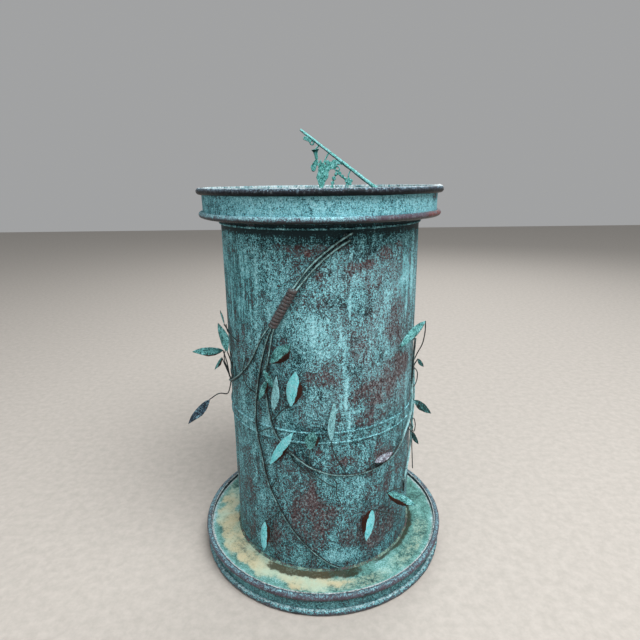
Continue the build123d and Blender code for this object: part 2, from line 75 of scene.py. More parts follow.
def wobble(x, y, z):
    """Plain noise of about -1 to 1 whose features are 1 across."""
    return noise.noise(Vector((x, y, z)))


def around(azimuth, radius, height):
    """A point from its azimuth in degrees, radius and height."""
    return Vector((radius * sin(radians(azimuth)), -radius * cos(radians(azimuth)), height))


def azimuth_of(point):
    return degrees(atan2(point[0], -point[1]))


def turn_between(a, b):
    """Difference of two azimuths, from -180 to 180."""
    return (a - b + 180) % 360 - 180


def near(azimuth, centre, inner, outer):
    """1 within inner degrees of the centre azimuth, falling to 0 at outer degrees."""
    return fade(inner, outer, abs(turn_between(azimuth, centre)))


def peak(offset, width):
    """1 where offset is 0, falling off over about width."""
    return exp(-((offset / width) ** 2))


def node_box(name):
    """Bottom, top and radius of a CAD node that stands round the axis."""
    low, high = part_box(name)
    return low.z, high.z, max(high.x, -low.x)


def welded(node):
    """The CAD node's mesh as a bmesh with its seams closed."""
    bm = bmesh.new()
    bm.from_mesh(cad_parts[node].data)
    bmesh.ops.remove_doubles(bm, verts=bm.verts, dist=1e-6)
    return bm


# ---------- materials ----------

def srgb(red, green, blue):
    """A colour given in 0 to 255, as linear light."""
    out = []
    for channel in (red, green, blue):
        c = channel / 255
        out.append(c / 12.92 if c <= 0.04045 else ((c + 0.055) / 1.055) ** 2.4)
    return (*out, 1.0)


class Paint:
    """A procedural material, built node by node in the object's own coordinates."""

    def __init__(self, name):
        self.material = bpy.data.materials.new(name)
        self.material.use_nodes = True
        self.tree = self.material.node_tree
        self.shader = self.tree.nodes["Principled BSDF"]
        self.where = self.add("ShaderNodeTexCoord").outputs["Object"]

    def add(self, kind, **settings):
        node = self.tree.nodes.new(kind)
        for key, value in settings.items():
            setattr(node, key, value)
        return node

    def feed(self, socket, value):
        if isinstance(value, bpy.types.NodeSocket):
            self.tree.links.new(value, socket)
        else:
            socket.default_value = value

    def math(self, operation, a, b=0.0):
        node = self.add("ShaderNodeMath", operation=operation)
        self.feed(node.inputs[0], a)
        self.feed(node.inputs[1], b)
        return node.outputs[0]

    def times(self, a, b):
        return self.math("MULTIPLY", a, b)

    def weigh(self, base, *terms):
        """base plus each value times its weight."""
        total = base
        for value, weight in terms:
            total = self.math("ADD", self.times(value, weight), total)
        return total

    def noise(self, scale, detail=4.0, roughness=0.55, distortion=0.0, stretch=(1, 1, 1), shift=0.0):
        """Noise centred on 0, of about -0.5 to 0.5; scale is features per metre."""
        mapping = self.add("ShaderNodeMapping")
        mapping.inputs["Location"].default_value = (shift, -0.7 * shift, 1.3 * shift)
        mapping.inputs["Scale"].default_value = stretch
        self.feed(mapping.inputs["Vector"], self.where)
        texture = self.add("ShaderNodeTexNoise")
        self.feed(texture.inputs["Vector"], mapping.outputs[0])
        texture.inputs["Scale"].default_value = scale
        texture.inputs["Detail"].default_value = detail
        texture.inputs["Roughness"].default_value = roughness
        texture.inputs["Distortion"].default_value = distortion
        return self.math("SUBTRACT", texture.outputs["Fac"], 0.5)

    def step(self, value, low, high):
        """0 below low, 1 above high and smooth between."""
        node = self.add("ShaderNodeMapRange", interpolation_type="SMOOTHSTEP")
        self.feed(node.inputs["Value"], value)
        node.inputs["From Min"].default_value = low
        node.inputs["From Max"].default_value = high
        return node.outputs[0]

    def span(self, value, low, high):
        """Stretches 0 to 1 into low to high."""
        node = self.add("ShaderNodeMapRange")
        self.feed(node.inputs["Value"], value)
        node.inputs["To Min"].default_value = low
        node.inputs["To Max"].default_value = high
        return node.outputs[0]

    def mix(self, factor, a, b):
        """Colour a where factor is 0 and b where it is 1."""
        node = self.add("ShaderNodeMix", data_type="RGBA")
        self.feed(node.inputs[0], factor)
        self.feed(node.inputs[6], a)
        self.feed(node.inputs[7], b)
        return node.outputs[2]

    def dye(self, factor, base, colour):
        """The base turned to a colour where factor is 1."""
        return self.mix(factor, base, srgb(*colour))

    def aged(self, name):
        """A weathering value stored on the piece's own points, 0 where there is none."""
        return self.add("ShaderNodeAttribute", attribute_name=name).outputs["Fac"]

    def facing_up(self):
        separate = self.add("ShaderNodeSeparateXYZ")
        self.feed(separate.inputs[0], self.add("ShaderNodeNewGeometry").outputs["Normal"])
        return separate.outputs["Z"]

    def facing_out(self):
        """How far the surface faces away from the column's axis, 1 straight out."""
        flat = self.add("ShaderNodeVectorMath", operation="MULTIPLY")
        self.feed(flat.inputs[0], self.where)
        flat.inputs[1].default_value = (1, 1, 0)
        outward = self.add("ShaderNodeVectorMath", operation="NORMALIZE")
        self.feed(outward.inputs[0], flat.outputs[0])
        dot = self.add("ShaderNodeVectorMath", operation="DOT_PRODUCT")
        self.feed(dot.inputs[0], outward.outputs[0])
        self.feed(dot.inputs[1], self.add("ShaderNodeNewGeometry").outputs["Normal"])
        return dot.outputs["Value"]

    def relief(self, height):
        bump = self.add("ShaderNodeBump")
        bump.inputs["Distance"].default_value = PATINA_DEPTH
        bump.inputs["Strength"].default_value = PATINA_RELIEF
        self.feed(bump.inputs["Height"], height)
        self.tree.links.new(bump.outputs[0], self.shader.inputs["Normal"])


# Colours of the patina, from its thick crystals to the bare metal
PALE = (158, 212, 221)
AQUA = (114, 183, 192)
TEAL = (66, 116, 123)
MAUVE = (132, 137, 143)     # dusty patina
DARK = (24, 44, 48)
BROWN = (86, 70, 73)
RED = (108, 46, 40)
DUST = (150, 164, 167)      # grey specks on the brown
TAN = (188, 202, 178)       # lime scale on the base
SAND = (206, 190, 152)
OLIVE_AND_SHADOW = (44, 36, 14)        # old puddles, and the painted shadow of the head and column on the base
LIME_AND_HIGHLIGHT = (200, 210, 212)      # chalky white edges, and painted highlights on the rim, drum and lower roll
SHADOW = (6, 12, 14)        # painted shade under the beads, rim and castings

PATINA_DEPTH = 0.6 * MM     # relief of the crust
PATINA_RELIEF = 0.6         # and how strongly it shows


def shade(colour, factor):
    """A darker or lighter version of a colour."""
    return tuple(min(255, channel * factor) for channel in colour)


def verdigris(name, aqua=AQUA, teal=TEAL, dark=DARK, brown=BROWN, pale=PALE, cover=0.5, browning=0.3,
              blotch=13.0, blotchy=1.0, grain=300.0, streaks=0.8, contrast=1.0, top_patina_and_highlight=0.0, ridge=0.0,
              underside_shade=0.0, cracks=0.0, dots=0.0, rough=(0.5, 0.85), gloss=0.12, stains=False, shift=0.0):
    """Patina over copper: a ragged coat of blue-green crystals, thin where cover is low, on brown metal.

    aqua and teal are the coat where it is thick and thin, dark and brown the metal. blotch and grain are
    features per metre, and streaks are runs down the sheet. The top cover thickens the coat where the surface
    faces up, partly as weathering and partly as a painted highlight on lit tops; ridge paints a highlight
    where the surface faces away from the axis. The underside setting is how far round from below the painted
    shade comes.
    """
    p = Paint(name)
    broad = p.noise(blotch, 4.0, 0.6, 0.5, shift=shift)
    middle = p.noise(4.3 * blotch, 5.0, 0.68, 0.4, stretch=(1, 1, 0.6), shift=shift + 3.1)
    fine = p.noise(grain, 3.0, 0.7, 0.0, stretch=(1, 1, 0.7), shift=shift + 5.7)
    speck = p.noise(2.1 * grain, 2.0, 0.6, 0.0, shift=shift + 9.2)
    coat = p.weigh(cover, (broad, 1.1 * blotchy), (middle, 2.3 * blotchy), (p.aged("cover"), 1.0))
    if streaks:
        runs = p.noise(95.0, 4.0, 0.6, 0.2, stretch=(1, 1, 0.055), shift=shift + 1.9)
        coat = p.weigh(coat, (runs, 1.7 * streaks), (p.times(runs, p.aged("streaky")), 2.2))
    # thicker patina on faces that turn up: partly weathering, partly a painted highlight on the lit tops
    if top_patina_and_highlight:
        coat = p.weigh(coat, (p.facing_up(), top_patina_and_highlight))
    # painted highlight along the ridge that faces away from the column's axis
    if ridge:
        coat = p.weigh(coat, (p.step(p.facing_out(), 0.72, 0.97), ridge))
    calm = p.weigh(2.4 * contrast, (p.aged("streaky"), -1.2 * contrast))
    grainy = p.weigh(coat, (fine, p.times(calm, 0.9)), (speck, p.times(calm, 1.7)))
    mask = p.step(grainy, 0.12, 0.38)
    patina = p.mix(p.step(grainy, 0.25, 0.65), srgb(*shade(teal, 0.7)), srgb(*teal))
    patina = p.dye(p.times(p.aged("dusty"), 0.7), patina, MAUVE)
    patina = p.dye(p.step(grainy, 0.5, 1.0), patina, aqua)
    patina = p.dye(p.step(grainy, 1.0, 1.5), patina, pale)
    if cracks:
        network = p.noise(0.45 * grain, 2.0, 0.5, 1.2, stretch=(1, 1, 0.7), shift=shift + 15.0)
        line = p.math("SUBTRACT", 1.0, p.step(p.math("ABSOLUTE", network), 0.0, 0.035))
        patina = p.dye(p.times(line, cracks), patina, shade(teal, 0.5))
    tint = p.noise(1.7 * blotch, 3.0, 0.6, 0.4, shift=shift + 12.0)
    hue = p.weigh(browning, (tint, 2.2), (p.aged("brown"), 1.0), (middle, 0.8))
    browned = p.step(hue, 0.1, 0.6)
    metal = p.mix(browned, srgb(*dark), srgb(*brown))
    metal = p.dye(p.step(p.weigh(p.aged("red"), (fine, 2.4), (middle, 1.5)), 0.45, 0.85), metal, RED)
    if dots:
        on_brown = p.times(browned, dots)
        specks = p.step(p.weigh(0.0, (speck, 0.5), (fine, 1.3)), 0.05, 0.13)
        metal = p.dye(p.times(specks, on_brown), metal, DUST)
        pits = p.step(p.weigh(0.0, (speck, -0.4), (fine, -1.3)), 0.04, 0.13)
        metal = p.dye(p.times(pits, on_brown), metal, shade(brown, 0.45))
    colour = p.mix(mask, metal, patina)
    if stains:
        lime_scale = p.step(p.weigh(p.aged("tan"), (middle, 2.0), (fine, 1.2), (broad, 0.9)), 0.1, 1.3)
        lime_tone = p.mix(p.step(broad, -0.12, 0.12), srgb(*SAND), srgb(*TAN))
        colour = p.mix(p.times(lime_scale, 0.82), colour, lime_tone)
        # puddle stains and painted shadow on the base
        puddle_and_shadow = p.step(p.weigh(p.aged("olive"), (middle, 1.4), (fine, 1.4)), 0.2, 1.0)
        colour = p.dye(p.times(puddle_and_shadow, 0.9), colour, OLIVE_AND_SHADOW)
    # chalky lime, and the painted highlights that share its colour
    chalk_and_highlight = p.step(p.weigh(p.aged("lime"), (fine, 2.0), (middle, 1.0)), 0.35, 1.05)
    colour = p.dye(chalk_and_highlight, colour, LIME_AND_HIGHLIGHT)
    # painted shade on the faces that turn downwards
    if underside_shade:
        below = p.math("SUBTRACT", 1.0, p.step(p.facing_up(), -0.75, underside_shade))
        colour = p.dye(below, colour, SHADOW)
    p.feed(p.shader.inputs["Base Color"], colour)
    p.feed(p.shader.inputs["Roughness"], p.span(mask, *rough))
    p.shader.inputs["Specular IOR Level"].default_value = gloss
    p.relief(p.weigh(0.0, (mask, 0.5), (fine, 1.2), (middle, 0.8), (speck, 0.4)))
    return p.material


# What groups of materials share. Each material's shift gives it a pattern of its own.
ROLLED = dict(streaks=0.0, blotch=24.0, blotchy=0.6, contrast=0.8)
RUBBED = dict(rough=(0.36, 0.7), gloss=0.4)
THIN_WIRE = dict(streaks=0.0, blotch=40.0, grain=450.0, contrast=0.6, **RUBBED)
FOLIAGE = dict(streaks=0.0, blotch=45.0, grain=420.0)

MATERIALS = {
    "column": verdigris("column_patina", cover=0.58, browning=0.45, contrast=1.2, cracks=0.7, dots=0.85),
    "base": verdigris("base_patina", (108, 162, 156), (76, 120, 114), cover=0.9, streaks=0.0, blotch=16.0,
        blotchy=0.8, contrast=0.5, cracks=0.3, stains=True, shift=2.0),
    "skirt": verdigris("skirt_patina", (108, 166, 171), (68, 112, 118), cover=0.62, browning=0.4, streaks=0.0,
        blotchy=0.5, contrast=0.7, shift=4.0),
    "head": verdigris("head_patina", (124, 192, 204), (78, 136, 147), cover=0.95, browning=0.1, streaks=0.3,
        blotch=24.0, blotchy=0.6, contrast=0.85, cracks=0.5, shift=6.0),
    "bead": verdigris("bead_patina", (116, 166, 176), (82, 98, 112), (34, 38, 46), (80, 66, 78), cover=0.1,
        browning=0.6, top_patina_and_highlight=0.5, underside_shade=0.25, dots=0.4, shift=8.0, **ROLLED, **RUBBED),
    "foot_bead": verdigris("foot_bead_patina", (128, 196, 204), (76, 122, 132), (24, 34, 40), (74, 62, 74),
        cover=0.12, browning=0.6, top_patina_and_highlight=0.6, underside_shade=0.3, dots=0.4, shift=9.0, **ROLLED, **RUBBED),
    "rim": verdigris("rim_patina", (132, 156, 170), (78, 98, 112), (22, 30, 34), (40, 42, 50), cover=-0.3,
        browning=0.4, top_patina_and_highlight=0.95, underside_shade=0.55, dots=0.3, rough=(0.4, 0.8), shift=10.0, **ROLLED),
    "dial": verdigris("dial_patina", (88, 146, 146), (52, 96, 98), pale=(110, 164, 164), cover=0.45,
        browning=0.4, streaks=0.0, blotch=18.0, blotchy=0.8, contrast=0.5, shift=12.0),
    "marks": verdigris("dial_mark_patina", (200, 226, 208), (164, 190, 172), (96, 104, 84), (150, 122, 84),
        cover=0.7, browning=0.8, streaks=0.0, blotchy=0.5, contrast=0.5, rough=(0.35, 0.7), shift=14.0),
    "wire": verdigris("wire_patina", (124, 168, 168), (62, 92, 94), (8, 20, 22), (26, 26, 26), cover=0.0,
        top_patina_and_highlight=0.2, ridge=0.9, shift=16.0, **THIN_WIRE),
    "tendril": verdigris("tendril_patina", (98, 140, 138), (48, 74, 74), (10, 20, 20), (30, 26, 24),
        cover=-0.1, top_patina_and_highlight=0.15, ridge=0.45, shift=17.0, **THIN_WIRE),
    "binding": verdigris("binding_patina", (112, 132, 134), (72, 76, 78), (34, 34, 34), (82, 72, 72),
        cover=0.1, browning=0.8, streaks=0.0, blotch=60.0, grain=500.0, contrast=0.7, top_patina_and_highlight=0.3,
        shift=18.0, **RUBBED),
    "leaf": verdigris("leaf_patina", (116, 216, 222), (84, 168, 174), (40, 84, 88), (70, 60, 54), cover=1.1,
        contrast=0.7, cracks=0.35, shift=20.0, **FOLIAGE),
    "leaf_grey": verdigris("greyed_leaf_patina", (136, 194, 200), (92, 144, 150), (40, 64, 66), (96, 88, 92),
        cover=0.9, browning=0.5, contrast=0.8, shift=21.0, **FOLIAGE),
    "leaf_slate": verdigris("slate_leaf_patina", (96, 124, 140), (48, 66, 82), (18, 24, 34), (34, 34, 40),
        cover=0.45, shift=21.2, **FOLIAGE),
    # painted shade: a darker copy of the leaf patina for leaves tucked in shadow
    "leaf_deep": verdigris("sheltered_and_shaded_leaf_patina", (96, 166, 164), (60, 112, 112), (24, 40, 40),
        (50, 42, 38), cover=0.7, contrast=0.8, shift=21.5, **FOLIAGE),
    "leaf_dark": verdigris("shaded_leaf_patina", (62, 116, 114), (34, 70, 70), (14, 26, 26), (38, 32, 30),
        cover=0.5, contrast=0.9, shift=22.0, **FOLIAGE),
    "leaf_pale": verdigris("bleached_leaf_patina", (176, 180, 192), (120, 122, 134), (60, 62, 70),
        (92, 78, 86), cover=0.55, browning=0.5, shift=23.0, **FOLIAGE),
    "leaf_under": verdigris("leaf_underside", (60, 66, 60), (44, 36, 32), (20, 14, 12), (60, 32, 23),
        cover=0.0, browning=0.6, contrast=0.6, shift=24.0, **FOLIAGE),
    "casting": verdigris("casting_patina", (112, 200, 190), (62, 140, 134), (22, 66, 66), (50, 76, 70),
        cover=0.7, browning=0.2, streaks=0.0, blotch=90.0, grain=520.0, contrast=1.1, cracks=0.6,
        underside_shade=-0.2, shift=26.0),
    "screw": verdigris("screw_brass", (140, 180, 160), (110, 120, 80), (70, 60, 36), (140, 112, 58),
        cover=0.2, browning=0.8, streaks=0.0, blotch=80.0, grain=600.0, rough=(0.3, 0.7), shift=28.0),
    "solder": verdigris("solder_patina", (140, 178, 180), (90, 112, 114), (44, 56, 58), (84, 78, 76),
        cover=0.4, browning=0.4, streaks=0.0, blotch=60.0, grain=500.0, shift=30.0),
}


# ---------- making pieces ----------

def add_object(name, data):
    obj = bpy.data.objects.new(name, data)
    bpy.context.scene.collection.objects.link(obj)
    return obj


def finish_piece(mesh, body, slot, node, *materials):
    """Links a mesh as a piece of the same name that rides on a body and stands for a CAD node."""
    for polygon in mesh.polygons:
        polygon.use_smooth = True
    for material in materials:
        mesh.materials.append(MATERIALS[material])
    obj = add_object(mesh.name, mesh)
    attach(obj, body)
    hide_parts(node)
    return obj


def mesh_from(name, vertices, faces, material_of=None):
    """A mesh with its faces turned outwards."""
    mesh = bpy.data.meshes.new(name)
    mesh.from_pydata([tuple(v) for v in vertices], [], faces)
    if material_of:
        for polygon, index in zip(mesh.polygons, material_of):
            polygon.material_index = index
    bm = bmesh.new()
    bm.from_mesh(mesh)
    bmesh.ops.recalc_face_normals(bm, faces=bm.faces)
    bm.to_mesh(mesh)
    bm.free()
    return mesh


def outline(corners, steps):
    """A closed loop of (radius, height) with each side divided; steps has each side's spacing in mm."""
    loop = []
    for index, start in enumerate(corners):
        end = corners[(index + 1) % len(corners)]
        parts = max(1, round(hypot(end[0] - start[0], end[1] - start[1]) / (steps[index] * MM)))
        for part in range(parts):
            t = part / parts
            loop.append((start[0] + t * (end[0] - start[0]), start[1] + t * (end[1] - start[1])))
    return loop


def lathe(name, loop, shape, segments):
    """A closed ring: the loop turned round the axis, each point moved by shape(azimuth, radius, height)."""
    vertices = []
    count = len(loop)
    for segment in range(segments):
        azimuth = 360 * segment / segments
        for radius, height in loop:
            out, up = shape(azimuth, radius, height)
            vertices.append(around(azimuth, radius + out, height + up))
    faces = []
    for segment in range(segments):
        here, there = segment * count, (segment + 1) % segments * count
        for index in range(count):
            after = (index + 1) % count
            faces.append((here + index, there + index, there + after, here + after))
    return mesh_from(name, vertices, faces)


def sheet_ring(name, node, steps, shape, segments):
    """The mesh of a rolled sheet standing round the axis; steps: its end, outside, end and inside."""
    bottom, top, outer = node_box(node)
    inner = outer - SHEET
    loop = outline([(inner, bottom), (outer, bottom), (outer, top), (inner, top)], steps)
    return lathe(name, loop, shape, segments)


def dented(*layers):
    """A shape for lathe that moves points outwards by layers of (feature size, depth, seed), in mm."""
    def shape(azimuth, radius, height):
        place = around(azimuth, radius, height)
        return sum(depth * MM * lumps(place, size, 2, seed) for size, depth, seed in layers), 0.0
    return shape


def tube(points, radius_at, sides):
    """Vertices and faces of a closed round tube along points; radius_at takes 0 to 1 along it."""
    vertices, faces = [], []
    normal = None
    last = len(points) - 1
    for index, point in enumerate(points):
        tangent = (points[min(index + 1, last)] - points[max(index - 1, 0)]).normalized()
        if normal is None:
            normal = tangent.orthogonal().normalized()
        normal = (normal - tangent * normal.dot(tangent)).normalized()
        side = tangent.cross(normal)
        for k in range(sides):
            angle = 2 * pi * k / sides
            vertices.append(point + radius_at(index / last) * (normal * cos(angle) + side * sin(angle)))
    for index in range(last):
        for k in range(sides):
            a, b = index * sides + k, index * sides + (k + 1) % sides
            faces.append((a, b, b + sides, a + sides))
    faces.append(tuple(range(sides)))
    faces.append(tuple(last * sides + k for k in range(sides)))
    return vertices, faces


def join(*shapes):
    """Several (vertices, faces) pairs as one."""
    vertices, faces = [], []
    for more_vertices, more_faces in shapes:
        start = len(vertices)
        vertices += more_vertices
        faces += [tuple(start + index for index in face) for face in more_faces]
    return vertices, faces


def fused(mesh, voxel, smoothing):
    """The mesh remade as one even skin of voxels of that many mm, then smoothed so many times."""
    holder = add_object("holder", mesh)
    remesh = holder.modifiers.new("skin", "REMESH")
    remesh.mode = "VOXEL"
    remesh.voxel_size = voxel * MM
    skin = bpy.data.meshes.new_from_object(holder.evaluated_get(bpy.context.evaluated_depsgraph_get()))
    bpy.data.objects.remove(holder)
    bm = bmesh.new()
    bm.from_mesh(skin)
    for _ in range(smoothing):
        bmesh.ops.smooth_vert(bm, verts=bm.verts, factor=0.5, use_axis_x=True, use_axis_y=True,
                              use_axis_z=True)
    bm.to_mesh(skin)
    bm.free()
    return skin


def roughen(mesh, *layers):
    """Moves each point along its normal by layers of (feature size, depth, seed), in mm."""
    normals = [vertex.normal.copy() for vertex in mesh.vertices]
    for vertex, normal in zip(mesh.vertices, normals):
        place = vertex.co.copy()
        for size, depth, seed in layers:
            vertex.co += normal * (depth * MM) * lumps(place, size, 2, seed)
    mesh.update()
    return mesh


def recast(node, body, slot, material, voxel, smoothing, *layers):
    """A hand-worked version of a CAD node, in its place and of its size."""
    mesh = bpy.data.meshes.new(node + "_skin")
    bm = welded(node)
    bm.to_mesh(mesh)
    bm.free()
    skin = roughen(fused(mesh, voxel, smoothing), *layers)
    skin.name = node + "_worked"
    return finish_piece(skin, body, slot, node, material)


def store(obj, field, values):
    attribute = obj.data.attributes.new(field, "FLOAT", "POINT")
    attribute.data.foreach_set("value", values)


def age(obj, **fields):
    """Stores weathering values on the piece's points; each field is a function of a point."""
    for field, value_at in fields.items():
        store(obj, field, [value_at(vertex.co) for vertex in obj.data.vertices])


# ---------- where the vine and leaves shade the column ----------

TREE_STEP = 3 * MM      # greatest distance between the points along an edge


def tree_of(nodes):
    """A search tree of points along the edges of CAD nodes."""
    points = []
    for node in nodes:
        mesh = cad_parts[node].data
        for edge in mesh.edges:
            a, b = (mesh.vertices[index].co for index in edge.vertices)
            parts = max(1, ceil((b - a).length / TREE_STEP))
            points += [a.lerp(b, part / parts) for part in range(parts + 1)]
    tree = kdtree.KDTree(len(points))
    for index, point in enumerate(points):
        tree.insert(point, index)
    tree.balance()
    return tree


RODS = ("vine_rod_upper", "vine_rod_lower", "vine_branch_left", "vine_branch_foot", "vine_branch_right")
LEAF_NODES = sorted(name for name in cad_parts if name.startswith(("leaf_", "leaves_")))
LEAF_NODES.remove("leaf_stems")
vine_tree = tree_of(RODS + ("vine_binding",))
leaf_tree = tree_of(LEAF_NODES)


# ---------- column ----------

COLUMN_RADIUS = node_box("column_upper_shell")[2]

# Where rain has washed the patina into soft streaks: azimuth, then height, half width and half height in mm
STREAKY = [(-52, 500, 50, 80), (55, 510, 34, 60)]

# Patches: azimuth, then height, half width and half height in mm, then what they add to the patina's cover,
# to the brown of the metal and to its red
COLUMN_PATCHES = [
    (-43, 510, 32, 72, 0.28, 0, 0),      # pale streaks, upper left
    (-6, 574, 60, 20, -0.30, 0.2, 0),    # darker under the head: partly stain, partly painted shade
    (20, 560, 42, 24, -0.16, 0, 0),
    (-6, 559, 7, 6, -0.5, 0.3, 0.7),     # red copper showing
    (-1, 527, 7, 6, -0.5, 0.3, 0.6),
    (17, 536, 13, 10, -0.35, 0.3, 0.5),
    (25, 541, 18, 8, -0.35, 0.3, 0.55),
    (35, 553, 15, 12, -0.35, 0.3, 0.6),
    (46, 566, 11, 7, -0.35, 0.3, 0.6),
    (2, 440, 42, 44, 0.3, 0, 0),
    (53, 520, 46, 44, 0.22, 0, 0),       # pale streaks, upper right
    (-19, 507, 24, 30, 0.22, 0, 0),      # thick crystals beside the binding
    (-24, 470, 24, 24, 0.32, 0, 0),
    (-10, 457, 28, 32, 0.26, 0, 0),
    (15, 558, 2.4, 13, 0.9, 0, 0),       # drips
    (14.5, 485, 2.6, 24, 1.0, 0, 0),
    (9.5, 438, 2.6, 20, 1.0, 0, 0),
    (12, 400, 2.6, 22, 0.9, 0, 0),
    (13.5, 350, 2.8, 36, 0.8, 0, 0),
    (15, 305, 3, 20, 0.7, 0, 0),
    (31, 343, 46, 26, -0.75, 1, 0.25),   # bare brown patches, right
    (48, 373, 46, 26, -0.65, 1, 0.15),
    (45, 442, 28, 42, -0.4, 0.9, 0),
    (28, 303, 36, 15, -0.35, 0.8, 0),
    (0, 375, 30, 14, -0.45, 1, 0),
    (2, 398, 18, 10, -0.35, 0.8, 0),
    (-49, 418, 30, 60, -0.14, 0.6, 0),
    (-2, 255, 9, 7, -0.6, 0.6, 0),       # below the strap
    (13, 235, 15, 9, -0.6, 1, 0.3),
    (40, 224, 26, 15, -0.5, 1, 0),
    (-6, 136, 46, 62, -0.46, 1, 0),      # bare brown, lower middle
    (33, 96, 66, 42, -0.5, 1, 0),
    (-34, 160, 22, 26, 0.22, 0, 0),
    (-33, 92, 22, 36, -0.4, 0.9, 0),     # dark behind the low left leaf
    (12, 186, 45, 32, 0.36, 0, 0),
    (8, 60, 38, 17, 0.6, 0, 0),
    (-14, 56, 20, 15, 0.4, 0, 0),
    (-55, 142, 45, 105, -0.12, 0.3, 0),
    (-52, 59, 19, 20, -0.3, 1, 0),
    (115, 400, 60, 55, -0.35, 0.9, 0.1),    # the back
    (170, 220, 70, 80, 0.22, 0, 0),
    (-140, 480, 60, 60, 0.22, 0, 0),
    (-115, 130, 60, 50, -0.3, 1, 0),
    (150, 110, 60, 45, -0.25, 0.8, 0),
    (-170, 560, 90, 24, -0.25, 0.2, 0),
]


def patch_strength(azimuth, height, patch):
    """1 in the middle of a patch, 0 outside."""
    across = radians(turn_between(azimuth, patch[0])) * COLUMN_RADIUS / (patch[2] * MM)
    along = (height - patch[1] * MM) / (patch[3] * MM)
    far_off = abs(across) > 1.15 or abs(along) > 1.15
    return 0.0 if far_off else fade(0.55, 1.15, hypot(across, along))


COLUMN_FIELDS = ("cover", "brown", "red", "streaky", "lime", "dusty")


def column_age(point):
    """The weathering at a point of the column, in the order of COLUMN_FIELDS."""
    reach = 9 * MM      # how far the patches' edges wander
    ragged = reach * lumps(point, 22, 3, 1.5)
    azimuth = azimuth_of(point) + degrees(0.35 * ragged / COLUMN_RADIUS)
    height = point.z + 0.5 * ragged * min(1.0, abs(ragged) / reach)
    cover = brown = red = 0.0
    for patch in COLUMN_PATCHES:
        strength = patch_strength(azimuth, height, patch)
        cover += strength * patch[4]
        brown += strength * patch[5]
        red += strength * patch[6]
    low = fade(0.18, 0.30, point.z)
    cover -= 0.15 * low
    brown += 0.25 * low
    # painted shade in the gap under the head
    cover -= 1.3 * smoothstep(0.577, 0.590, point.z)
    brown -= 1.1 * smoothstep(0.564, 0.580, point.z)
    # barer along the vine and behind the leaves: sheltered metal, partly painted shadow
    cover -= 0.3 * peak(vine_tree.find(point)[2], 2.6 * MM)
    shelter_and_shadow = fade(7 * MM, 13 * MM, leaf_tree.find(point)[2])
    streaky = max(patch_strength(azimuth, height, patch) for patch in STREAKY)
    # a pale strip down the right-hand edge, and duller patina between the front and the right
    lime = 0.5 * near(azimuth, 72, 3, 7) * smoothstep(0.15, 0.18, point.z) * fade(0.29, 0.34, point.z)
    dusty = smoothstep(-24, 26, azimuth) * fade(74, 110, azimuth)
    dusty *= clamp01(0.85 + 0.9 * lumps(point, 60, 3, 14.0))
    dusty *= smoothstep(0.28, 0.33, point.z) * fade(0.52, 0.58, point.z)
    return cover - 0.3 * shelter_and_shadow, brown + 0.4 * shelter_and_shadow, red, streaky, lime, dusty


def make_column():
    """The two rolled shells, finely divided outside."""
    for part in ("lower", "upper"):
        node = "column_" + part + "_shell"
        surface = dented((90, 0.45, 4.0), (14, 0.16, 5.0))
        mesh = sheet_ring("column_" + part + "_sheet", node, [1, 2.4, 1, 12], surface, 440)
        obj = finish_piece(mesh, "pedestal", "column_sheet", node, "column")
        ages = [column_age(vertex.co) for vertex in obj.data.vertices]
        for field, values in zip(COLUMN_FIELDS, zip(*ages)):
            store(obj, field, values)


def bead(name, node, wall_radius, body, material, seed, crust_at=None):
    """A rolled bead, flat where it meets its wall, never quite even, and crusted where crust_at says."""
    bottom, top, outer = node_box(node)
    size = (top - bottom) / 2
    loop = []
    for index in range(28):
        angle = 2 * pi * index / 28
        radius = max(outer - size + size * cos(angle), wall_radius + SEAT)
        loop.append((radius, (bottom + top) / 2 + size * sin(angle)))

    def shape(azimuth, radius, height):
        place = around(azimuth, radius, height)
        swell = 0.35 * MM * lumps(place, 55, 2, seed) + 0.22 * MM * lumps(place, 9, 2, seed + 3)
        lift = 0.35 * MM * lumps(around(azimuth, outer, 0), 120, 2, seed + 5)
        if crust_at:
            swell += crust_at(azimuth) * MM * (0.5 + 1.1 * lumps(place, 5, 3, seed + 7))
        outward = (radius - (outer - size)) / size
        upward = (height - (bottom + top) / 2) / size
        return swell * outward, max(swell * upward + lift, -height)

    mesh = lathe(name, loop, shape, 720)
    return finish_piece(mesh, body, "rolled_bead", node, material)


def make_band():
    """The strap over the joint, with a rolled ridge along each edge."""
    bottom, top, outer = node_box("column_band")
    inside = COLUMN_RADIUS + SEAT
    face = inside + 1.0 * MM
    ridge = 1.6 * MM
    loop = [(inside, top), (inside, bottom)]
    for middle in (bottom + ridge, top - ridge):
        for step in range(9):
            angle = -pi / 2 + pi * step / 8
            loop.append((face - 0.2 * MM + ridge * cos(angle), middle + ridge * sin(angle)))
        if middle < (bottom + top) / 2:
            for step in range(1, 12):
                t = step / 12
                height = bottom + 2 * ridge + t * (top - bottom - 4 * ridge)
                loop.append((face + 0.25 * MM * sin(pi * t), height))

    def shape(azimuth, radius, height):
        place = around(azimuth, radius, height)
        ripple = 0.22 * MM * lumps(place, 12, 2, 8.0) if radius > inside + 0.2 * MM else 0.0
        return ripple, 0.5 * MM * lumps(around(azimuth, outer, 0), 110, 2, 9.0)

    mesh = lathe("column_strap", loop, shape, 600)
    obj = finish_piece(mesh, "pedestal", "rolled_bead", "column_band", "column")

    def cover(point):
        edge = min(abs(point.z - bottom), abs(point.z - top))
        # barer along the vine: partly painted shadow
        return (0.22 if edge < 2 * ridge else -0.05) - 0.3 * peak(vine_tree.find(point)[2], 3 * MM)

    age(obj, cover=cover)


# ---------- base ----------

SEAM_AZIMUTHS = (88, -83)       # where the ends of the plate's two halves meet


